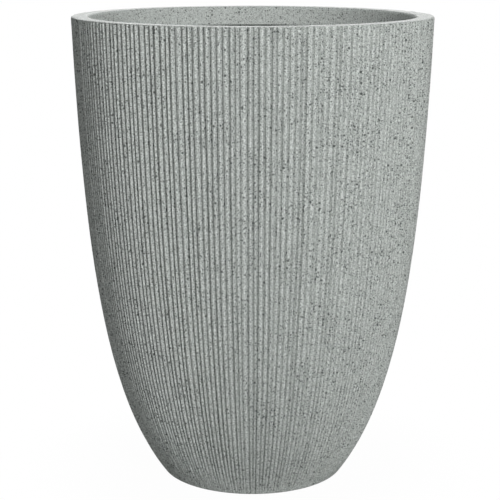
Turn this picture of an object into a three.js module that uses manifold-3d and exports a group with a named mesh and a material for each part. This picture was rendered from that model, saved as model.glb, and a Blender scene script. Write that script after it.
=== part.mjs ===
import * as THREE from 'three';
import { mergeVertices } from 'three/addons/utils/BufferGeometryUtils.js';
import Module from 'manifold-3d';

// Tall round planter: one ribbed shell with a folded rim, and a rubber stopper in each drain hole.
// Millimetres, +Z up. The origin is the centre of the base, on the ground.

// Outer form
const HEIGHT = 522;
const RIM_RADIUS = 200;
const FOOT_RADIUS = 98;
const FOOT_CORNER = 8;
const FOOT_FLARE_ANGLE = THREE.MathUtils.degToRad(53.8);
const FOOT_FLARE_REACH = 118.6;
const RIM_LEAN_ANGLE = THREE.MathUtils.degToRad(2.4);
const RIM_LEAN_REACH = 241;

// Walls
const WALL = 4.5;
const FLOOR = 5;
const FLOOR_FILLET = 8;
const FOOT_RING_WIDTH = 18;
const BASE_RECESS = 4;

// Folded rim: a flat top, then a skirt that hangs inside the mouth and ends in a free edge
const RIM_WIDTH = 20;
const RIM_OUTER_ROUND = 1.5;
const RIM_INNER_ROUND = 3;
const SKIRT_DEPTH = 22;
const SKIRT_WALL = 4;
const SKIRT_FILLET = 2;

// Grooves between the ribs, as wide and deep as they are at the rim
const GROOVES = 204;
const GROOVE_WIDTH = 3;
const GROOVE_DEPTH = 2.2;
const GROOVE_WOBBLE = 0.17;
const GROOVE_WOBBLE_WAVES = [
  { share: 0.5, rate: 1.7, start: 0 },
  { share: 0.3, rate: 4.1, start: 1 },
  { share: 0.2, rate: 7.3, start: 2 },
];
const GROOVE_FOOT_END = 15;
const GROOVE_FOOT_RUNOUT = 37;
const GROOVE_RIM_RUNOUT = 1;
const RIBBED_BANDS = 5;

// Drain holes and their stoppers
const DRAIN_HOLES = 4;
const DRAIN_CIRCLE_RADIUS = 55;
const DRAIN_HOLE_RADIUS = 9;
const STOPPER_CLEARANCE = 0.3;
const STOPPER_TIP_DROP = 1.5;
const STOPPER_TIP_CHAMFER = 1.2;
const STOPPER_FLANGE_RADIUS = 15;
const STOPPER_FLANGE = 3;
const STOPPER_NECK_RADIUS = 4;
const STOPPER_NECK = 5;
const STOPPER_KNOB_RADIUS = 7;
const STOPPER_KNOB = 5;
const STOPPER_ROUND = 1;

// How finely the round shapes are faceted
const GROOVES_PER_FACET = 3;
const HOLE_FACETS = 32;
const STOPPER_FACETS = 24;
const ROUND_STEPS = 2;
const SAME_POINT = 1e-4;

const FLOOR_TOP = BASE_RECESS + FLOOR;

const stoneGrey = new THREE.MeshStandardMaterial({
  name: 'stone_grey_plastic', color: 0x9fa39f, roughness: 0.85, metalness: 0, flatShading: true,
});
const blackRubber = new THREE.MeshStandardMaterial({
  name: 'black_rubber', color: 0x2b2c2c, roughness: 0.8, metalness: 0, flatShading: true,
});

// A profile point: x is the distance from the axis and y the height
const point = (radius, height) => new THREE.Vector2(radius, height);

// Points on a round corner from one angle to another, the first left out
function corner(centre, radius, startAngle, endAngle) {
  const points = [];
  for (let step = 1; step <= ROUND_STEPS; step += 1) {
    const angle = THREE.MathUtils.lerp(startAngle, endAngle, step / ROUND_STEPS);
    points.push(point(centre.x + radius * Math.cos(angle), centre.y + radius * Math.sin(angle)));
  }
  return points;
}

// Outer wall over the rib crowns: one cubic curve from the foot corner to the rim's edge
const wallFoot = point(
  FOOT_RADIUS + FOOT_CORNER * Math.sin(FOOT_FLARE_ANGLE),
  FOOT_CORNER * (1 - Math.cos(FOOT_FLARE_ANGLE)),
);
const wallTop = point(RIM_RADIUS, HEIGHT - RIM_OUTER_ROUND);
const wallCurve = new THREE.CubicBezierCurve(
  wallFoot,
  point(
    wallFoot.x + FOOT_FLARE_REACH * Math.cos(FOOT_FLARE_ANGLE),
    wallFoot.y + FOOT_FLARE_REACH * Math.sin(FOOT_FLARE_ANGLE),
  ),
  point(
    wallTop.x - RIM_LEAN_REACH * Math.sin(RIM_LEAN_ANGLE),
    wallTop.y - RIM_LEAN_REACH * Math.cos(RIM_LEAN_ANGLE),
  ),
  wallTop,
);

// The place on the wall curve, from 0 to 1, that lies at a height
function placeAtHeight(height) {
  let low = 0;
  let high = 1;
  for (let step = 0; step < 40; step += 1) {
    const middle = (low + high) / 2;
    if (wallCurve.getPoint(middle).y < height) {
      low = middle;
    } else {
      high = middle;
    }
  }
  return low;
}

// The inner face lies one wall thickness behind the outer curve, square to it
function innerWall(place) {
  const outer = wallCurve.getPoint(place);
  const along = wallCurve.getTangent(place);
  return point(outer.x - WALL * along.y, outer.y + WALL * along.x);
}

// Places of the ribbed rings, from where the grooves reach full depth to their top end
const ribbedPlaces = [];
const fullDepthPlace = placeAtHeight(GROOVE_FOOT_END + GROOVE_FOOT_RUNOUT);
const grooveTopPlace = placeAtHeight(wallTop.y - GROOVE_RIM_RUNOUT);
for (let band = 0; band <= RIBBED_BANDS; band += 1) {
  ribbedPlaces.push(THREE.MathUtils.lerp(fullDepthPlace, grooveTopPlace, band / RIBBED_BANDS));
}

// The grooves look hand drawn: each stands a little off its even place around the wall,
// by a sum of three waves that is never more than GROOVE_WOBBLE of the even spacing
const grooveSpacing = (2 * Math.PI) / GROOVES;
function grooveAngle(index) {
  const turn = index % GROOVES;
  const wobble = GROOVE_WOBBLE_WAVES.reduce(
    (sum, wave) => sum + wave.share * Math.sin(wave.rate * turn + wave.start), 0,
  );
  return grooveSpacing * (index + GROOVE_WOBBLE * wobble);
}

const onCircle = (radius, angle, height) => new THREE.Vector3(
  radius * Math.cos(angle), radius * Math.sin(angle), height,
);

// A plain ring with one corner for every few grooves
function plainRing(profilePoint, step = GROOVES_PER_FACET) {
  const ring = [];
  for (let groove = 0; groove < GROOVES; groove += step) {
    ring.push(onCircle(profilePoint.x, grooveAngle(groove), profilePoint.y));
  }
  return ring;
}

// A ribbed ring: the bottom of each groove, then the two edges of the flat rib beside it
function ribbedRing(place) {
  const crown = wallCurve.getPoint(place);
  const along = wallCurve.getTangent(place);
  const depth = GROOVE_DEPTH * crown.x / RIM_RADIUS;
  const bottom = point(crown.x - depth * along.y, crown.y + depth * along.x);
  const halfWidth = GROOVE_WIDTH / 2 / RIM_RADIUS;
  const ring = [];
  for (let groove = 0; groove < GROOVES; groove += 1) {
    ring.push(onCircle(bottom.x, grooveAngle(groove), bottom.y));
    ring.push(onCircle(crown.x, grooveAngle(groove) + halfWidth, crown.y));
    ring.push(onCircle(crown.x, grooveAngle(groove + 1) - halfWidth, crown.y));
  }
  return ring;
}

// Closed surface over a stack of rings, from a point on the axis to another point on the axis.
// Neighbouring rings have equal counts, or one has a whole multiple of the other's.
function ringStackGeometry(rings) {
  const positions = [];
  const triangles = [];
  const starts = rings.map((ring) => {
    const start = positions.length / 3;
    ring.forEach((corner3) => positions.push(corner3.x, corner3.y, corner3.z));
    return start;
  });
  for (let band = 0; band + 1 < rings.length; band += 1) {
    const lowCount = rings[band].length;
    const highCount = rings[band + 1].length;
    const steps = Math.max(lowCount, highCount);
    const low = (step) => starts[band] + Math.round((step * lowCount) / steps) % lowCount;
    const high = (step) => starts[band + 1] + Math.round((step * highCount) / steps) % highCount;
    for (let step = 0; step < steps; step += 1) {
      if (low(step) !== low(step + 1)) {
        triangles.push(low(step), low(step + 1), high(step));
      }
      if (high(step) !== high(step + 1)) {
        triangles.push(low(step + 1), high(step + 1), high(step));
      }
    }
  }
  const geometry = new THREE.BufferGeometry();
  geometry.setAttribute('position', new THREE.Float32BufferAttribute(positions, 3));
  geometry.setIndex(triangles);
  return geometry;
}

const wasm = await Module();
wasm.setup();

function solidOf(geometry) {
  const bare = geometry.clone();
  bare.deleteAttribute('normal');
  bare.deleteAttribute('uv');
  const merged = mergeVertices(bare, SAME_POINT);
  return new wasm.Manifold(new wasm.Mesh({
    numProp: 3,
    vertProperties: new Float32Array(merged.attributes.position.array),
    triVerts: new Uint32Array(merged.index.array),
  }));
}

function geometryOf(solid) {
  const mesh = solid.getMesh();
  const geometry = new THREE.BufferGeometry();
  geometry.setAttribute('position', new THREE.BufferAttribute(mesh.vertProperties, 3));
  geometry.setIndex(new THREE.BufferAttribute(mesh.triVerts, 1));
  geometry.computeVertexNormals();
  return geometry;
}

// Rings of the shell, in order: under the base, up the ribbed wall, over the rim, down the skirt,
// up into the gap behind it, down the inner wall and in over the floor
function shellRings() {
  const footRingInner = FOOT_RADIUS - FOOT_RING_WIDTH;
  const underside = [
    point(footRingInner - BASE_RECESS, BASE_RECESS),
    point(footRingInner, 0),
    point(FOOT_RADIUS, 0),
    ...corner(
      point(FOOT_RADIUS, FOOT_CORNER), FOOT_CORNER,
      -Math.PI / 2, FOOT_FLARE_ANGLE - Math.PI / 2,
    ),
  ];
  const rimTopInner = RIM_RADIUS - RIM_WIDTH + RIM_INNER_ROUND;
  const rimCentre = point(RIM_RADIUS - RIM_OUTER_ROUND, HEIGHT - RIM_OUTER_ROUND);
  const rim = [
    ...corner(rimCentre, RIM_OUTER_ROUND, 0, Math.PI / 2),
    point(rimTopInner, HEIGHT),
    ...corner(
      point(rimTopInner, HEIGHT - RIM_INNER_ROUND), RIM_INNER_ROUND, Math.PI / 2, Math.PI,
    ),
  ];
  const skirtFront = RIM_RADIUS - RIM_WIDTH;
  const skirtBack = skirtFront + SKIRT_WALL;
  const skirtEnd = HEIGHT - SKIRT_DEPTH;
  const gapTop = HEIGHT - WALL;
  const wallBack = innerWall(placeAtHeight(gapTop - SKIRT_FILLET));
  const skirt = [
    point(skirtFront, skirtEnd),
    point(skirtBack, skirtEnd),
    point(skirtBack, gapTop - SKIRT_FILLET),
    point(skirtBack + SKIRT_FILLET, gapTop),
    point(wallBack.x - SKIRT_FILLET, gapTop),
    wallBack,
  ];
  const lowestInner = innerWall(placeAtHeight(GROOVE_FOOT_END));
  const inside = [...ribbedPlaces.slice(0, -1).reverse().map(innerWall), lowestInner];
  const floorCorner = point(
    lowestInner.x - (lowestInner.y - FLOOR_TOP) / Math.tan(FOOT_FLARE_ANGLE), FLOOR_TOP,
  );
  const floorEdge = point(floorCorner.x - FLOOR_FILLET, FLOOR_TOP);
  const fillet = new THREE.QuadraticBezierCurve(lowestInner, floorCorner, floorEdge);
  const floor = [fillet.getPoint(0.5), floorEdge];
  return [
    [new THREE.Vector3(0, 0, BASE_RECESS)],
    ...underside.map((edge) => plainRing(edge)),
    plainRing(wallCurve.getPoint(placeAtHeight(GROOVE_FOOT_END)), 1),
    ...ribbedPlaces.map(ribbedRing),
    plainRing(wallTop, 1),
    ...[...rim, ...skirt, ...inside, ...floor].map((edge) => plainRing(edge)),
    [new THREE.Vector3(0, 0, FLOOR_TOP)],
  ];
}

// Centres of the drain holes, evenly spaced on their circle
function drainCentres() {
  return Array.from({ length: DRAIN_HOLES }, (_, index) => {
    const angle = (2 * Math.PI * (index + 0.5)) / DRAIN_HOLES;
    return onCircle(DRAIN_CIRCLE_RADIUS, angle, 0);
  });
}

function planterBody() {
  let solid = solidOf(ringStackGeometry(shellRings()));
  const drill = new THREE.CylinderGeometry(DRAIN_HOLE_RADIUS, DRAIN_HOLE_RADIUS, 2 * FLOOR_TOP, HOLE_FACETS);
  drill.rotateX(Math.PI / 2);
  drainCentres().forEach((centre) => {
    const placed = drill.clone().translate(centre.x, centre.y, FLOOR_TOP);
    solid = solid.subtract(solidOf(placed));
  });
  const mesh = new THREE.Mesh(geometryOf(solid), stoneGrey);
  mesh.name = 'planter_body';
  return mesh;
}

// One stopper, with its origin on its axis at the height where the flange rests on the floor
function stopperGeometry() {
  const plugRadius = DRAIN_HOLE_RADIUS - STOPPER_CLEARANCE;
  const tip = -(FLOOR + STOPPER_CLEARANCE + STOPPER_TIP_DROP);
  const knobFoot = STOPPER_FLANGE + STOPPER_NECK;
  const knobTop = knobFoot + STOPPER_KNOB;
  const knobRoundCentre = STOPPER_KNOB_RADIUS - STOPPER_ROUND;
  const profile = [
    point(0, tip),
    point(plugRadius - STOPPER_TIP_CHAMFER, tip),
    point(plugRadius, tip + STOPPER_TIP_CHAMFER),
    point(plugRadius, 0),
    point(STOPPER_FLANGE_RADIUS, 0),
    ...corner(
      point(STOPPER_FLANGE_RADIUS - STOPPER_ROUND, STOPPER_FLANGE - STOPPER_ROUND), STOPPER_ROUND,
      0, Math.PI / 2,
    ),
    point(STOPPER_NECK_RADIUS, STOPPER_FLANGE),
    point(STOPPER_NECK_RADIUS, knobFoot),
    point(knobRoundCentre, knobFoot),
    ...corner(point(knobRoundCentre, knobFoot + STOPPER_ROUND), STOPPER_ROUND, -Math.PI / 2, 0),
    ...corner(point(knobRoundCentre, knobTop - STOPPER_ROUND), STOPPER_ROUND, 0, Math.PI / 2),
    point(0, knobTop),
  ];
  const geometry = new THREE.LatheGeometry(profile, STOPPER_FACETS);
  geometry.rotateX(Math.PI / 2);
  return geometry;
}

function drainStopper(centre, index) {
  const mesh = new THREE.Mesh(stopperGeometry(), blackRubber);
  mesh.name = `drain_plug_${index + 1}`;
  mesh.position.set(centre.x, centre.y, FLOOR_TOP + STOPPER_CLEARANCE);
  return mesh;
}

const planter = new THREE.Group();
planter.name = 'planter';
planter.add(planterBody());
drainCentres().forEach((centre, index) => planter.add(drainStopper(centre, index)));

export default planter;
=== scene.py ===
"""Looks of a tall ribbed planter, moulded in speckled plastic, with rubber stoppers in its floor.

Metres, +Z up. The origin is the centre of the base, on the ground.
"""
import math

import bpy
import numpy as np
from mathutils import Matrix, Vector


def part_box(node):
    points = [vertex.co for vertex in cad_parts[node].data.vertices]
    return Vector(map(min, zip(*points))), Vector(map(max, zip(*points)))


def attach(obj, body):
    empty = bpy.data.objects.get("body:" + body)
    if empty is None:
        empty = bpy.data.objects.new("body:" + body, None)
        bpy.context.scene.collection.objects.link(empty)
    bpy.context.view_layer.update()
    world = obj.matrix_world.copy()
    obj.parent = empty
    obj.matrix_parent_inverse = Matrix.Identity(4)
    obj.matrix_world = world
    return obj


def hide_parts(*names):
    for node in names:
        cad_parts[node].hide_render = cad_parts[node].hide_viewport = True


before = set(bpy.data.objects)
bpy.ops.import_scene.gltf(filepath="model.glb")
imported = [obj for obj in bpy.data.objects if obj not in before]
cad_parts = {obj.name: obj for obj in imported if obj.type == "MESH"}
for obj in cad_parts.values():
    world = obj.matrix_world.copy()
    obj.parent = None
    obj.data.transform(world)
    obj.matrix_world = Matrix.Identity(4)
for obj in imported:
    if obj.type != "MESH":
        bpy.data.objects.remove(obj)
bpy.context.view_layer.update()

MM = 0.001
random = np.random.default_rng(204)

# Sizes of the moulding, as the solids have them
shell_low, shell_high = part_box("planter_body")
HEIGHT = shell_high.z
RIM_RADIUS = min(shell_high.x, shell_high.y, -shell_low.x, -shell_low.y)
FOOT_RADIUS = 98 * MM
FOOT_CORNER = 8 * MM
FOOT_RING_WIDTH = 18 * MM
FOOT_FLARE_ANGLE = math.radians(53.8)
FOOT_FLARE_REACH = 118.6 * MM
RIM_LEAN_ANGLE = math.radians(2.4)
RIM_LEAN_REACH = 241 * MM
WALL = 4.5 * MM
BASE_RECESS = 4 * MM
FLOOR_TOP = 9 * MM
FLOOR_FILLET = 8 * MM
RIM_WIDTH = 20 * MM
RIM_OUTER_ROUND = 2.5 * MM
RIM_INNER_ROUND = 3 * MM
SKIRT_DEPTH = 22 * MM
SKIRT_WALL = 4 * MM
SKIRT_FILLET = 2 * MM
SKIRT_EDGE_ROUND = 0.6 * MM
DRAIN_HOLE_RADIUS = 9 * MM
DRAIN_HOLE_CHAMFER = 0.7 * MM
STOPPERS = sorted(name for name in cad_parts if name.startswith("drain_plug"))

# Grooves and ribs: widths and depths are those at the rim, and shrink with the radius below it. A wobble
# or a path's drift is a share of the step between two grooves, and a spread is a share of the mean.
GROOVES = 204
GROOVE_WIDTH = 3.0 * MM
GROOVE_DEPTH = 3.3 * MM
GROOVE_WOBBLE = 0.17
GROOVE_WOBBLE_WAVES = ((0.5, 1.7, 0), (0.3, 4.1, 1), (0.2, 7.3, 2))
GROOVE_PATH_DRIFT = 0.05
GROOVE_WIDTH_SPREAD = 0.16
GROOVE_DEPTH_SPREAD = 0.28
DEEPEST_GROOVE = 3.9 * MM
RIB_CROWN = 0.8 * MM
RIB_UNEVEN = 0.65 * MM
RIB_SWELL = 0.35 * MM
SWELL_STARTS, SWELL_FULL = 10 * MM, 60 * MM
RELIEF_SWAY = 0.3
# Where a groove ends: a share of the rim's outer round, and heights above the ground
GROOVE_TOP_END = 0.8
GROOVE_FOOT_END = 22 * MM
GROOVE_FOOT_WAVES = ((16 * MM, 1, 0.6), (10 * MM, 3, 2))
GROOVE_FOOT_SPREAD = 16 * MM
GROOVE_FOOT_BELOW, GROOVE_FOOT_ABOVE = 18 * MM, 24 * MM
# The section of a groove: two points on each side, as shares of its half width and of its depth
LOW_SIDE, LOW_SIDE_DEPTH = 0.36, 0.8
HIGH_SIDE, HIGH_SIDE_DEPTH = 0.8, 0.5
POINTS_PER_RIB = 8
# Rings of the wall: closer together below the first height, which is the flare of the foot
FLARE_TOP, RIM_BAND_FOOT = 100 * MM, 500 * MM
RIM_ROUND_RINGS = 5
SHARP_EDGE = math.radians(35)


def round_corner(centre, radius, start, end, steps):
    """Profile points on a circle about a centre, from one angle in degrees to another."""
    angle = np.radians(np.linspace(start, end, steps + 1))
    return np.stack([centre[0] + radius * np.cos(angle), centre[1] + radius * np.sin(angle)], axis=1)


def straight(start, end, steps):
    """Profile points on a line, without its first point."""
    share = np.linspace(0, 1, steps + 1)[1:, None]
    return np.array(start) * (1 - share) + np.array(end) * share


def wall_controls():
    """The four control points of the outer wall's curve, as (radius, height)."""
    foot = np.array([
        FOOT_RADIUS + FOOT_CORNER * math.sin(FOOT_FLARE_ANGLE),
        FOOT_CORNER * (1 - math.cos(FOOT_FLARE_ANGLE)),
    ])
    top = np.array([RIM_RADIUS, HEIGHT - RIM_OUTER_ROUND])
    flare = FOOT_FLARE_REACH * np.array([math.cos(FOOT_FLARE_ANGLE), math.sin(FOOT_FLARE_ANGLE)])
    lean = RIM_LEAN_REACH * np.array([math.sin(RIM_LEAN_ANGLE), math.cos(RIM_LEAN_ANGLE)])
    return foot, foot + flare, top - lean, top


def wall_curve(place):
    """Cubic Bezier curve of the outer wall, and its unit direction, at places from 0 to 1."""
    a, b, c, d = wall_controls()
    t = np.asarray(place, float)[..., None]
    point = (1 - t) ** 3 * a + 3 * (1 - t) ** 2 * t * b + 3 * (1 - t) * t ** 2 * c + t ** 3 * d
    along = (1 - t) ** 2 * (b - a) + 2 * (1 - t) * t * (c - b) + t ** 2 * (d - c)
    return point, along / np.linalg.norm(along, axis=-1, keepdims=True)


def place_at_height(height):
    """The place on the wall's curve at a height, read off a fine table of the curve."""
    table = np.linspace(0, 1, 4001)
    return np.interp(height, wall_curve(table)[0][:, 1], table)


def inner_wall(place):
    """The inner face, one wall thickness behind the outer curve and square to it."""
    point, along = wall_curve(place)
    return point + WALL * np.stack([-along[..., 1], along[..., 0]], axis=-1)


def groove_angles():
    """Angle of each groove: an even step round the wall, off by a sum of three waves."""
    turn = np.arange(GROOVES)
    wobble = sum(share * np.sin(rate * turn + start) for share, rate, start in GROOVE_WOBBLE_WAVES)
    return 2 * math.pi / GROOVES * (turn + GROOVE_WOBBLE * wobble)


def drift(heights, stations):
    """One random number from -1 to 1 for each groove that changes slowly with height.

    It is drawn at even heights and eased from one to the next by half a cosine wave."""
    table = random.uniform(-1, 1, (stations + 1, GROOVES))
    spot = heights / HEIGHT * stations
    below = np.clip(spot.astype(int), 0, stations - 1)
    ease = (0.5 - 0.5 * np.cos(math.pi * (spot - below)))[:, None]
    return table[below] * (1 - ease) + table[below + 1] * ease


def smooth_step(value, low, high):
    """0 below low, 1 above high, and an S-shaped rise between them."""
    share = np.clip((value - low) / (high - low), 0, 1)
    return share * share * (3 - 2 * share)


def groove_fade(heights):
    """1 where the grooves have their full depth, falling to 0 at both ends, for each height and groove.

    At the top they close as a quarter of an ellipse on the rim's outer round, a little under its
    top. Near the foot each ends in an S-shaped run at a height of its own: an even height, off by
    two waves round the wall and by a random amount."""
    climb = np.clip(1 - (HEIGHT - heights) / RIM_OUTER_ROUND, 0, 1)
    at_rim = np.sqrt(1 - np.minimum(climb / GROOVE_TOP_END, 1) ** 2)[:, None]
    around = groove_angles()
    waves = sum(reach * np.sin(rate * around + start) for reach, rate, start in GROOVE_FOOT_WAVES)
    foot_end = GROOVE_FOOT_END + waves + random.uniform(-1, 1, GROOVES) * GROOVE_FOOT_SPREAD
    low, high = foot_end - GROOVE_FOOT_BELOW, foot_end + GROOVE_FOOT_ABOVE
    return at_rim * smooth_step(heights[:, None], low, high)


def wall_and_round(heights):
    """Profile of the outer wall at the given heights and then of the rim's outer round.

    Returns its points and the directions along it. On the round that direction stays upright, so
    that a groove there sinks straight towards the axis."""
    point, along = wall_curve(place_at_height(heights))
    centre = (RIM_RADIUS - RIM_OUTER_ROUND, HEIGHT - RIM_OUTER_ROUND)
    edge = round_corner(centre, RIM_OUTER_ROUND, 0, 90, RIM_ROUND_RINGS)[1:]
    upright = np.tile([0.0, 1.0], (RIM_ROUND_RINGS, 1))
    return np.concatenate([point, edge]), np.concatenate([along, upright])


def ribbed_wall(heights):
    """Rings of the outer wall and of the rim's outer round, eight points for each rib.

    Each groove is a channel with a rounded bottom that sinks below the curve, and the rib beside it
    is an arched crown whose top lies below the curve by an uneven amount. The relief is stronger on
    the -X side and weaker on the +X side, by a cosine of the angle. No groove goes through the
    wall. Returns the points as an array of rings by points by three, and for each point how deep in
    a groove it lies, from 0 to 1."""
    point, along = wall_and_round(heights)
    heights = point[:, 1]
    shrink = point[:, :1] / RIM_RADIUS
    angle = groove_angles() + 2 * math.pi / GROOVES * GROOVE_PATH_DRIFT * drift(heights, 7)
    next_angle = np.roll(angle, -1, axis=1)
    next_angle[:, -1] += 2 * math.pi
    half_width = GROOVE_WIDTH / 2 / RIM_RADIUS * (1 + GROOVE_WIDTH_SPREAD * drift(heights, 9))
    next_half_width = np.roll(half_width, -1, axis=1)

    fade = groove_fade(heights)
    sway = 1 - RELIEF_SWAY * np.cos(groove_angles())
    own_sink = sway * (0.9 - 0.8 * random.uniform(0, 1, GROOVES) ** 3 + 0.1 * drift(heights, 8))
    swell = RIB_SWELL * smooth_step(HEIGHT - heights, SWELL_STARTS, SWELL_FULL)[:, None]
    sink = (RIB_UNEVEN * shrink * own_sink - swell) * fade
    next_sink = np.roll(sink, -1, axis=1)
    last_sink = np.roll(sink, 1, axis=1)
    spread = 0.7 * random.uniform(-1, 1, GROOVES) + 0.5 * drift(heights, 10)
    depth = GROOVE_DEPTH * shrink * sway * (1 + GROOVE_DEPTH_SPREAD * spread) * fade
    depth = np.minimum(depth, DEEPEST_GROOVE - (sink + last_sink) / 2)
    next_depth = np.roll(depth, -1, axis=1)
    crown = RIB_CROWN * sway * shrink * fade

    def side(own_depth, share):
        """How far a point on a groove's side lies under the top of the rib."""
        return share * own_depth + (1 - share) * crown

    angles = np.stack([
        angle,
        angle + LOW_SIDE * half_width,
        angle + HIGH_SIDE * half_width,
        angle + half_width,
        (angle + half_width + next_angle - next_half_width) / 2,
        next_angle - next_half_width,
        next_angle - HIGH_SIDE * next_half_width,
        next_angle - LOW_SIDE * next_half_width,
    ], axis=2).reshape(len(heights), -1)
    sinks = np.stack([
        depth + (sink + last_sink) / 2,
        side(depth, LOW_SIDE_DEPTH) + (3 * sink + last_sink) / 4,
        side(depth, HIGH_SIDE_DEPTH) + sink,
        crown + sink,
        sink,
        crown + sink,
        side(next_depth, HIGH_SIDE_DEPTH) + sink,
        side(next_depth, LOW_SIDE_DEPTH) + (3 * sink + next_sink) / 4,
    ], axis=2).reshape(len(heights), -1)
    radius = point[:, :1] - sinks * along[:, 1:]
    height = point[:, 1:] + sinks * along[:, :1]
    section = [1, 0.9, 0.5, 0, 0, 0, 0.5, 0.9]
    hollow = np.tile(section, GROOVES) * np.repeat(fade, POINTS_PER_RIB, axis=1)
    return np.stack([radius * np.cos(angles), radius * np.sin(angles), height], axis=2), hollow


def plain_rings(profile, angles):
    """A ring round the axis for each (radius, height) point of a profile."""
    radius, height = profile[:, :1], profile[:, 1:]
    return np.stack([
        radius * np.cos(angles), radius * np.sin(angles), height + 0 * angles,
    ], axis=2)


def band_faces(start, next_start, count):
    """Quads between two rings of equal counts, whose points start at the given numbers."""
    here = np.arange(count)
    there = np.roll(here, -1)
    return np.stack([start + here, start + there, next_start + there, next_start + here], axis=1)


def gather_faces(fine, coarse, count, ratio, fine_first):
    """Triangles from a fine ring to a coarse one that has one point for every few of it."""
    here = np.arange(count * ratio)
    there = np.roll(here, -1)
    owner = ((here + ratio // 2) // ratio) % count
    fans = np.stack([fine + here, fine + there, coarse + owner], axis=1)
    last = np.arange(count)
    switch = (last * ratio + ratio - ratio // 2) % (count * ratio)
    wedges = np.stack([coarse + last, fine + switch, coarse + np.roll(last, -1)], axis=1)
    faces = np.concatenate([fans, wedges])
    return faces if fine_first else faces[:, ::-1]


def build_mesh(name, points, faces):
    """A smooth-shaded mesh object from an array of points and arrays of faces, one row a face."""
    mesh = bpy.data.meshes.new(name)
    mesh.vertices.add(len(points))
    mesh.vertices.foreach_set("co", points.astype(np.float32).ravel())
    sizes = np.concatenate([np.full(len(group), group.shape[1]) for group in faces])
    mesh.loops.add(int(sizes.sum()))
    corners = np.concatenate([group.ravel() for group in faces])
    mesh.loops.foreach_set("vertex_index", corners.astype(np.int32))
    mesh.polygons.add(len(sizes))
    starts = np.concatenate([[0], np.cumsum(sizes)[:-1]])
    mesh.polygons.foreach_set("loop_start", starts.astype(np.int32))
    mesh.update(calc_edges=True)
    mesh.validate()
    mesh.shade_smooth()
    piece = bpy.data.objects.new(name, mesh)
    bpy.context.scene.collection.objects.link(piece)
    return piece


def mark_points(piece, name, values):
    """Gives each point of a mesh a number that its material can read by name."""
    marks = piece.data.attributes.new(name, "FLOAT", "POINT")
    marks.data.foreach_set("value", values.astype(np.float32))


def foot_profile():
    """From inside the base recess, over its sloping edge and the foot ring, to the start of the wall."""
    inner = FOOT_RADIUS - FOOT_RING_WIDTH
    recess_edge = inner - BASE_RECESS
    flat = np.array([[recess_edge - 3 * MM, BASE_RECESS], [recess_edge - 0.6 * MM, BASE_RECESS]])
    slope = np.array([
        [recess_edge + 0.3 * MM, BASE_RECESS - 0.3 * MM], [inner - 0.5 * MM, 0.5 * MM],
        [inner, 0.1 * MM], [inner + 0.6 * MM, 0], [FOOT_RADIUS - 9 * MM, 0], [FOOT_RADIUS - 0.5 * MM, 0],
    ])
    end = math.degrees(FOOT_FLARE_ANGLE) - 90
    corner = round_corner((FOOT_RADIUS, FOOT_CORNER), FOOT_CORNER, -90, end, 8)
    return np.concatenate([flat, slope, corner[:-1]])


def mouth_profile():
    """From the rim's flat top, round the skirt's free edge and into the gap behind it."""
    top_inner = RIM_RADIUS - RIM_WIDTH + RIM_INNER_ROUND
    top_outer = RIM_RADIUS - RIM_OUTER_ROUND
    front = RIM_RADIUS - RIM_WIDTH
    back = front + SKIRT_WALL
    end = HEIGHT - SKIRT_DEPTH
    edge = SKIRT_EDGE_ROUND
    gap_top = HEIGHT - WALL
    wall_back = inner_wall(place_at_height(gap_top - SKIRT_FILLET))
    return np.concatenate([
        straight((top_outer, HEIGHT), (top_inner, HEIGHT), 4),
        round_corner((top_inner, HEIGHT - RIM_INNER_ROUND), RIM_INNER_ROUND, 90, 180, 7)[1:],
        straight((front, HEIGHT - RIM_INNER_ROUND), (front, end + edge), 6),
        round_corner((front + edge, end + edge), edge, 180, 270, 3)[1:],
        round_corner((back - edge, end + edge), edge, 270, 360, 3),
        straight((back, end + edge), (back, gap_top - SKIRT_FILLET), 3),
        round_corner((back + SKIRT_FILLET, gap_top - SKIRT_FILLET), SKIRT_FILLET, 180, 90, 4)[1:],
        round_corner((wall_back[0] - SKIRT_FILLET, gap_top - SKIRT_FILLET), SKIRT_FILLET, 90, 0, 4),
    ])


def hollow_profile():
    """Down the inner wall, round the fillet and onto the flat of the floor."""
    lowest_place = place_at_height(15 * MM)
    places = np.linspace(place_at_height(HEIGHT - WALL - SKIRT_FILLET), lowest_place, 28)[1:]
    lowest = inner_wall(lowest_place)
    corner = np.array([lowest[0] - (lowest[1] - FLOOR_TOP) / math.tan(FOOT_FLARE_ANGLE), FLOOR_TOP])
    edge = corner - (FLOOR_FILLET, 0)
    t = np.linspace(0, 1, 8)[1:, None]
    fillet = (1 - t) ** 2 * lowest + 2 * (1 - t) * t * corner + t ** 2 * edge
    return np.concatenate([inner_wall(places), fillet, [edge - (2 * MM, 0)]])


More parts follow.
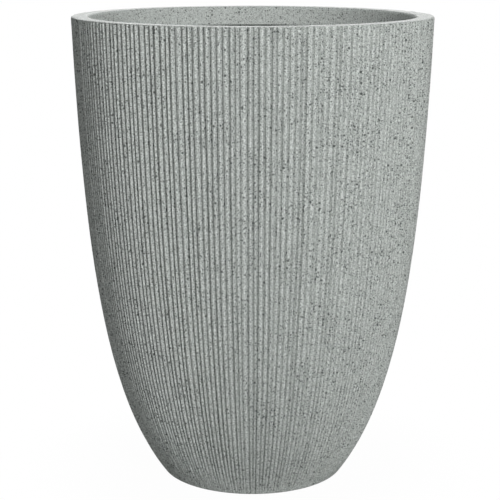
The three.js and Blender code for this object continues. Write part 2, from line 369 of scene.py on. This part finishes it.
def shell():
    """The whole moulding as one closed skin of rings, from under the base to the floor inside.

    Its points carry two numbers for the material: groove, how deep in a groove a point lies, which
    paints shade into the grooves, and inner, which is 1 on the inner faces and 0 elsewhere and
    paints them paler as painted bounce light."""
    heights = np.concatenate([
        np.linspace(wall_controls()[0][1], FLARE_TOP, 20),
        np.linspace(FLARE_TOP, RIM_BAND_FOOT, 21)[1:],
        HEIGHT - RIM_OUTER_ROUND - np.array([8, 2, 0]) * MM,
    ])
    wall, groove = ribbed_wall(heights)
    angles = groove_angles()
    below = plain_rings(foot_profile(), angles)
    profile = np.concatenate([mouth_profile(), hollow_profile()])
    inside = plain_rings(profile, angles)
    inner = profile[:, 0] < RIM_RADIUS - RIM_WIDTH + 0.5 * MM
    fine = GROOVES * POINTS_PER_RIB
    wall_start = len(below) * GROOVES
    inside_start = wall_start + len(wall) * fine
    points = np.concatenate([below.reshape(-1, 3), wall.reshape(-1, 3), inside.reshape(-1, 3)])
    faces = [
        band_faces(ring * GROOVES, (ring + 1) * GROOVES, GROOVES) for ring in range(len(below) - 1)
    ] + [
        band_faces(wall_start + ring * fine, wall_start + (ring + 1) * fine, fine)
        for ring in range(len(wall) - 1)
    ] + [
        band_faces(inside_start + ring * GROOVES, inside_start + (ring + 1) * GROOVES, GROOVES)
        for ring in range(len(inside) - 1)
    ] + [
        gather_faces(wall_start, wall_start - GROOVES, GROOVES, POINTS_PER_RIB, False),
        gather_faces(inside_start - fine, inside_start, GROOVES, POINTS_PER_RIB, True),
        np.arange(GROOVES)[None, ::-1],
        np.arange(len(points) - GROOVES, len(points))[None, :],
    ]
    piece = build_mesh("planter_shell", points, faces)
    none_below, none_on_wall = np.zeros(wall_start), np.zeros(groove.size)
    none_inside = np.zeros(inner.size * GROOVES)
    mark_points(piece, "groove", np.concatenate([none_below, groove.ravel(), none_inside]))
    mark_points(piece, "inner", np.concatenate([none_below, none_on_wall, np.repeat(inner, GROOVES)]))
    return piece


def lathe(name, profile, facets, centre=(0, 0, 0), swell=None):
    """A profile of (radius, height) points turned round the upright axis, its two ends closed flat.

    swell, if given, maps the angles and the profile to a factor on each radius."""
    angles = np.arange(facets) * 2 * math.pi / facets
    rings = plain_rings(profile, angles)
    if swell is not None:
        rings[..., :2] *= swell(angles, profile)[..., None]
    points = rings.reshape(-1, 3) + np.array(centre)
    faces = [band_faces(ring * facets, (ring + 1) * facets, facets) for ring in range(len(profile) - 1)]
    faces.append(np.arange(facets)[None, ::-1])
    faces.append(np.arange(len(points) - facets, len(points))[None, :])
    return build_mesh(name, points, faces)


def apply_modifiers(piece):
    """Turns a piece with live modifiers into a plain mesh."""
    evaluated = piece.evaluated_get(bpy.context.evaluated_depsgraph_get())
    mesh = bpy.data.meshes.new_from_object(evaluated)
    piece.modifiers.clear()
    piece.data = mesh


def sharpen(piece, least_angle, near):
    """Marks as sharp the edges that turn by more than an angle where near() is true of both ends."""
    mesh = piece.data
    places = np.empty(len(mesh.vertices) * 3, np.float32)
    mesh.vertices.foreach_get("co", places)
    inside = near(places.reshape(-1, 3))
    mesh.set_sharp_from_angle(angle=least_angle)
    sharp = mesh.attributes["sharp_edge"]
    flags = np.empty(len(mesh.edges), bool)
    sharp.data.foreach_get("value", flags)
    ends = np.empty(len(mesh.edges) * 2, np.int32)
    mesh.edges.foreach_get("vertices", ends)
    flags &= inside[ends.reshape(-1, 2)].all(axis=1)
    sharp.data.foreach_set("value", flags)


def at_ribs_or_holes(places):
    """Which places lie on the ribbed wall under the rim's top, or around the drain holes."""
    height, reach = places[:, 2], np.hypot(places[:, 0], places[:, 1])
    at_ribs = (height > FOOT_CORNER) & (height < HEIGHT - 1 * MM)
    at_holes = (height < FLOOR_TOP + 1 * MM) & (reach < FOOT_RADIUS - FOOT_RING_WIDTH - 10 * MM)
    return at_ribs | at_holes


def drill_drain_holes(piece):
    """Cuts a chamfered hole through the floor under each stopper."""
    for name in STOPPERS:
        low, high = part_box(name)
        centre = ((low.x + high.x) / 2, (low.y + high.y) / 2, 0)
        over = 2 * MM
        wide = DRAIN_HOLE_RADIUS + DRAIN_HOLE_CHAMFER + over
        profile = np.array([
            [wide, BASE_RECESS - over], [DRAIN_HOLE_RADIUS, BASE_RECESS + DRAIN_HOLE_CHAMFER],
            [DRAIN_HOLE_RADIUS, FLOOR_TOP - DRAIN_HOLE_CHAMFER], [wide, FLOOR_TOP + over],
        ])
        drill = lathe("drill_" + name, profile, 64, centre)
        cut = piece.modifiers.new("hole", "BOOLEAN")
        cut.operation = "DIFFERENCE"
        cut.solver = "EXACT"
        cut.object = drill
        apply_modifiers(piece)
        bpy.data.objects.remove(drill)


def stopper(index, node):
    """A moulded rubber stopper: a spigot with two sealing beads, a flange and a scalloped grip."""
    low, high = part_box(node)
    centre = ((low.x + high.x) / 2, (low.y + high.y) / 2, 0)
    flange_radius = (high.x - low.x) / 2
    seat = FLOOR_TOP + 0.3 * MM
    tip, top = low.z, high.z
    spigot = DRAIN_HOLE_RADIUS - 0.3 * MM
    flange, neck, knob = 3 * MM, 4 * MM, 7 * MM
    knob_foot = top - 5 * MM
    bead = 0.2 * MM
    beads = []
    for height in (tip + 2.6 * MM, tip + 4.6 * MM):
        beads.append(round_corner((spigot - 0.3 * MM, height), 0.3 * MM + bead, -50, 50, 6))
    profile = np.concatenate([
        [[2 * MM, tip + 0.4 * MM], [2.5 * MM, tip], [spigot - 1.6 * MM, tip]],
        round_corner((spigot - 1.2 * MM, tip + 1.2 * MM), 1.2 * MM, -90, 0, 6), *beads,
        [[spigot, seat - 0.4 * MM], [spigot + 0.4 * MM, seat], [flange_radius - 0.7 * MM, seat]],
        round_corner((flange_radius - 0.4 * MM, seat + 0.4 * MM), 0.4 * MM, -90, 0, 3)[1:],
        round_corner((flange_radius - 1 * MM, seat + flange - 1.2 * MM), 1 * MM, 0, 90, 6),
        round_corner((flange_radius - 3.4 * MM, seat + flange - 0.35 * MM), 0.35 * MM, 40, 140, 5),
        [[knob + 1.5 * MM, seat + flange - 0.2 * MM], [neck + 1.6 * MM, seat + flange - 0.2 * MM]],
        round_corner((neck + 1.2 * MM, seat + flange + 1 * MM), 1.2 * MM, -90, -180, 6)[1:],
        round_corner((neck + 1 * MM, knob_foot - 1 * MM), 1 * MM, 180, 90, 5),
        round_corner((knob - 1 * MM, knob_foot + 1 * MM), 1 * MM, -90, 0, 5),
        round_corner((knob - 1 * MM, top - 1 * MM), 1 * MM, 0, 90, 6),
        [[knob - 1.7 * MM, top], [knob - 2.4 * MM, top - 0.5 * MM], [1.4 * MM, top - 0.6 * MM]],
        [[0.9 * MM, top - 0.5 * MM]],
    ])

    def scallops(angles, points):
        """Eighteen shallow hollows round the side of the grip."""
        on_grip = (points[:, 1] > knob_foot) & (points[:, 0] > knob - 1.2 * MM)
        return 1 - 0.035 * on_grip[:, None] * (0.5 + 0.5 * np.cos(18 * angles)) ** 2

    return lathe(f"drain_stopper_{index}", profile, 108, centre, scallops)


class Value:
    """A socket in a material, with arithmetic that adds Math nodes to it."""

    def __init__(self, shader, socket):
        self.shader = shader
        self.socket = socket

    def math(self, operation, first, second):
        return self.shader.node("ShaderNodeMath", {"operation": operation}, {0: first, 1: second})

    def output(self, name):
        """Another output of the same node."""
        return Value(self.shader, self.socket.node.outputs[name])

    def __add__(self, other):
        return self.math("ADD", self, other)

    def __sub__(self, other):
        return self.math("SUBTRACT", self, other)

    def __rsub__(self, other):
        return self.math("SUBTRACT", other, self)

    def __mul__(self, other):
        return self.math("MULTIPLY", self, other)

    def __lt__(self, other):
        return self.math("LESS_THAN", self, other)

    __radd__ = __add__
    __rmul__ = __mul__


class Shader:
    """A node material, or the world's nodes, built one node at a time."""

    def __init__(self, owner):
        owner.use_nodes = True
        self.tree = owner.node_tree
        self.tree.nodes.clear()

    def node(self, kind, settings=None, inputs=None, output=0):
        """Adds a node, makes its settings, fills its sockets and returns one of its outputs."""
        node = self.tree.nodes.new(kind)
        for name, setting in (settings or {}).items():
            setattr(node, name, setting)
        for name, value in (inputs or {}).items():
            if isinstance(value, Value):
                self.tree.links.new(value.socket, node.inputs[name])
            else:
                node.inputs[name].default_value = value
        return Value(self, node.outputs[output]) if len(node.outputs) else None

    def blend(self, factor, first, second):
        """A colour between two colours."""
        return self.node(
            "ShaderNodeMix", {"data_type": "RGBA"}, {"Factor": factor, 6: first, 7: second}, 2,
        )

    def noise(self, place, scale, detail=2.0, roughness=0.5):
        return self.node("ShaderNodeTexNoise", {}, {
            "Vector": place, "Scale": scale, "Detail": detail, "Roughness": roughness,
        })

    def rise(self, value, low, high):
        """0 where a value is under low, 1 where it is over high, eased between them."""
        return self.node(
            "ShaderNodeMapRange", {"interpolation_type": "SMOOTHSTEP"},
            {"Value": value, "From Min": low, "From Max": high},
        )

    def grains(self, place, spacing, share, size, soft):
        """Mask of separate round grains in the plastic, cut open at its surface.

        Space is split into cells of the given spacing, a share of them holds a grain, and a grain's
        radius is between half its size and its size, with a soft edge."""
        cells = {"Vector": place, "Scale": 1 / spacing}
        distance = self.node("ShaderNodeTexVoronoi", {}, cells, "Distance")
        own = self.node("ShaderNodeSeparateColor", {}, {"Color": distance.output("Color")}, "Red")
        radius = (own.output("Green") * 0.5 + 0.5) * (size / spacing)
        return (1 - self.rise(distance - radius, -soft / spacing, 0.0)) * (own < share)


def linear(red, green, blue):
    """A colour written as display values from 0 to 255, as the linear colour that shaders use."""
    share = [channel / 255 for channel in (red, green, blue)]
    return tuple(((value + 0.055) / 1.055) ** 2.4 for value in share) + (1.0,)


def stone_plastic():
    """Matt grey plastic filled with stone grains, with a fine rough skin.

    It has soft mottling, pale grains, and dark grains of three sizes that crowd in some places and
    are rare in others. The top of the rim is smoother. The grooves are painted darker towards their
    bottoms as painted shade, and the inner faces are painted paler as painted bounce light."""
    material = bpy.data.materials.new("stone_plastic")
    shader = Shader(material)
    place = shader.node("ShaderNodeTexCoord", {}, {}, "Object")
    height = shader.node("ShaderNodeSeparateXYZ", {}, {"Vector": place}, "Z")
    groove = shader.node("ShaderNodeAttribute", {"attribute_name": "groove"}, {}, "Fac")
    inner = shader.node("ShaderNodeAttribute", {"attribute_name": "inner"}, {}, "Fac")
    rim_top = shader.rise(height, HEIGHT - 1.2 * MM, HEIGHT - 0.4 * MM)
    # On the inner faces the grains are also weakened, part of their painted paleness
    grainy = (1 - rim_top * 0.7) * (1 - inner * 0.15)
    mottle = shader.rise(shader.noise(place, 760, 2.0, 0.65), 0.34, 0.66)
    crowding = shader.rise(shader.noise(place, 34, 2.0), 0.36, 0.64)
    colour = shader.blend(mottle, linear(148, 153, 150), linear(220, 225, 221))
    # Painted light: the inner faces are blended paler, standing in for light bouncing inside the mouth
    colour = shader.blend(inner * 0.3, colour, linear(225, 230, 226))
    pale_grains = shader.grains(place, 2.3 * MM, 0.45, 0.7 * MM, 0.3 * MM)
    colour = shader.blend(pale_grains * grainy * 0.8, colour, linear(232, 236, 233))
    fine_grains = shader.grains(place, 1.9 * MM, crowding * 0.3 + 0.45, 0.75 * MM, 0.25 * MM)
    colour = shader.blend(fine_grains * grainy * 0.9, colour, linear(98, 103, 100))
    grains = shader.grains(place, 2.6 * MM, crowding * 0.5 + 0.32, 1.05 * MM, 0.25 * MM)
    colour = shader.blend(grains * grainy * 0.95, colour, linear(74, 79, 76))
    coarse_grains = shader.grains(place, 5.6 * MM, crowding * 0.55 + 0.25, 1.5 * MM, 0.3 * MM)
    colour = shader.blend(coarse_grains * grainy * 0.9, colour, linear(62, 66, 64))
    # Painted shade: the grooves are blended darker towards their bottoms, standing in for the shade that
    # falls in them
    colour = shader.blend(groove * 0.26, colour, linear(60, 64, 62))
    skin = shader.noise(place, 800, 2.0, 0.6)
    lumps = shader.noise(place, 300, 2.0)
    relief = skin * 0.6 + lumps * 0.4 - coarse_grains * 0.2
    bump = {"Height": relief, "Strength": 0.8, "Distance": 0.35 * MM}
    normal = shader.node("ShaderNodeBump", {}, bump)
    roughness = 0.78 + mottle * 0.12 - grains * 0.06 - rim_top * 0.24
    surface = shader.node("ShaderNodeBsdfPrincipled", {}, {
        "Base Color": colour, "Roughness": roughness, "Normal": normal, "Specular IOR Level": 0.3,
    })
    shader.node("ShaderNodeOutputMaterial", {}, {"Surface": surface})
    return material


def stopper_rubber():
    """Dark rubber with a dusty bloom and a fine moulded grain."""
    material = bpy.data.materials.new("stopper_rubber")
    shader = Shader(material)
    place = shader.node("ShaderNodeTexCoord", {}, {}, "Object")
    bloom = shader.rise(shader.noise(place, 160, 4.0, 0.6), 0.42, 0.72)
    colour = shader.blend(bloom * 0.6, linear(44, 45, 46), linear(78, 80, 79))
    specks = shader.grains(place, 1.6 * MM, 0.2, 0.3 * MM, 0.2 * MM)
    colour = shader.blend(specks * 0.5, colour, linear(120, 122, 120))
    grain = shader.noise(place, 2200, 2.0) + shader.noise(place, 500, 2.0) * 0.6
    bump = {"Height": grain, "Strength": 0.35, "Distance": 0.1 * MM}
    normal = shader.node("ShaderNodeBump", {}, bump)
    roughness = 0.62 + bloom * 0.25
    surface = shader.node("ShaderNodeBsdfPrincipled", {}, {
        "Base Color": colour, "Roughness": roughness, "Normal": normal, "Specular IOR Level": 0.45,
    })
    shader.node("ShaderNodeOutputMaterial", {}, {"Surface": surface})
    return material


def background_share(shader, share):
    """How much of a ray sees the plain white background: rays from the lens and mirrored ones."""
    seen = shader.node("ShaderNodeLightPath", {}, {}, "Is Camera Ray")
    mirrored = seen.math("MAXIMUM", seen.output("Is Glossy Ray"), seen.output("Is Transmission Ray"))
    return seen.math("MAXIMUM", seen, mirrored) * share


# The studio: how white the floor shows to the lens at the foot, where it is lightly shadowed, out to
# where it is fully white, how pale it is for the light it throws back, and the even light all round
FLOOR_SIZE = 12.0
FLOOR_WHITENESS = 0.98
FLOOR_PALENESS = 0.54
SHADOW_REACH = (0.12, 0.3)
AMBIENT = 0.04


def studio_floor():
    """A pale floor that shows white to the lens and keeps a light shadow round the planter."""
    half = FLOOR_SIZE / 2
    corners = np.array([[-half, -half, 0], [half, -half, 0], [half, half, 0], [-half, half, 0]])
    floor = build_mesh("studio_floor", corners, [np.array([[0, 1, 2, 3]])])
    material = bpy.data.materials.new("studio_white")
    shader = Shader(material)
    plain = shader.node("ShaderNodeBsdfDiffuse", {}, {"Color": (FLOOR_PALENESS,) * 3 + (1.0,)})
    white = shader.node("ShaderNodeEmission", {}, {"Color": (1.0, 1.0, 1.0, 1.0), "Strength": 1.0})
    place = shader.node("ShaderNodeTexCoord", {}, {}, "Object")
    reach = shader.node("ShaderNodeVectorMath", {"operation": "LENGTH"}, {0: place}, "Value")
    whiteness = FLOOR_WHITENESS + shader.rise(reach, *SHADOW_REACH) * (1 - FLOOR_WHITENESS)
    share = background_share(shader, whiteness)
    surface = shader.node("ShaderNodeMixShader", {}, {0: share, 1: plain, 2: white})
    shader.node("ShaderNodeOutputMaterial", {}, {"Surface": surface})
    floor.data.materials.append(material)


def studio_world():
    """A white surround for the lens, and a dimmer even light for everything else."""
    world = bpy.data.worlds.new("studio")
    bpy.context.scene.world = world
    shader = Shader(world)
    dim = shader.node("ShaderNodeBackground", {}, {"Color": (1.0, 1.0, 1.0, 1.0), "Strength": AMBIENT})
    white = shader.node("ShaderNodeBackground", {}, {"Color": (1.0, 1.0, 1.0, 1.0), "Strength": 1.0})
    surface = shader.node("ShaderNodeMixShader", {}, {0: background_share(shader, 1.0), 1: dim, 2: white})
    shader.node("ShaderNodeOutputWorld", {}, {"Surface": surface})


def soft_lamp(name, azimuth, elevation, distance, size, power):
    """A square soft lamp that faces the middle of the planter.

    Azimuth 0 is at the lens and grows to its right. Angles are in degrees and power in watts."""
    target = Vector((0, 0, HEIGHT / 2))
    turn, lift = math.radians(azimuth), math.radians(elevation)
    away = Vector((math.sin(turn) * math.cos(lift), -math.cos(turn) * math.cos(lift), math.sin(lift)))
    lamp = bpy.data.lights.new(name, "AREA")
    lamp.shape = "SQUARE"
    lamp.size = size
    lamp.energy = power
    holder = bpy.data.objects.new(name, lamp)
    holder.location = target + away * distance
    holder.rotation_euler = (-away).to_track_quat("-Z", "Y").to_euler()
    bpy.context.scene.collection.objects.link(holder)


def studio_lamps():
    """A key lamp from the front right, a weak fill, and lamps for the rim, the sides and the back."""
    soft_lamp("key_lamp", 20, 20, 2.4, 0.5, 36)
    soft_lamp("fill_lamp", -15, 25, 2.4, 0.5, 4)
    soft_lamp("left_lamp", -138, 15, 2.4, 0.8, 8)
    soft_lamp("right_lamp", 145, 15, 2.4, 0.8, 7)
    soft_lamp("back_lamp", 180, 27, 2.6, 1.6, 29)
    soft_lamp("top_lamp", 0, 88, 2.4, 0.6, 5)


# The lens: its focal length as pixels of a picture 500 pixels wide, its place, and its angles in degrees
LENS_FIELD_PIXELS = 500
LENS_FOCAL_PIXELS = 1519.0
LENS_PLACE = (0, -1.6955, 0.6203)
LENS_PITCH = 12.112
LENS_YAW = 0.094


def camera():
    """A long lens in front of the planter, a little above its rim, looking down at its middle."""
    lens = bpy.data.cameras.new("camera")
    lens.lens = LENS_FOCAL_PIXELS / LENS_FIELD_PIXELS * lens.sensor_width
    holder = bpy.data.objects.new("camera", lens)
    holder.location = LENS_PLACE
    holder.rotation_euler = (math.radians(90 - LENS_PITCH), 0, math.radians(LENS_YAW))
    bpy.context.scene.collection.objects.link(holder)
    bpy.context.scene.camera = holder


def finish_piece(piece, material, body, node):
    """Gives a piece its material, puts it on the body it moves with and hides the solid it stands for."""
    piece.data.materials.clear()
    piece.data.materials.append(material)
    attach(piece, body)
    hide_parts(node)


camera()
planter = shell()
drill_drain_holes(planter)
sharpen(planter, SHARP_EDGE, at_ribs_or_holes)
finish_piece(planter, stone_plastic(), "planter", "planter_body")
rubber = stopper_rubber()
for number, node_name in enumerate(STOPPERS, 1):
    finish_piece(stopper(number, node_name), rubber, f"stopper_{number}", node_name)
studio_floor()
studio_world()
studio_lamps()
bpy.context.scene.view_settings.view_transform = "Standard"
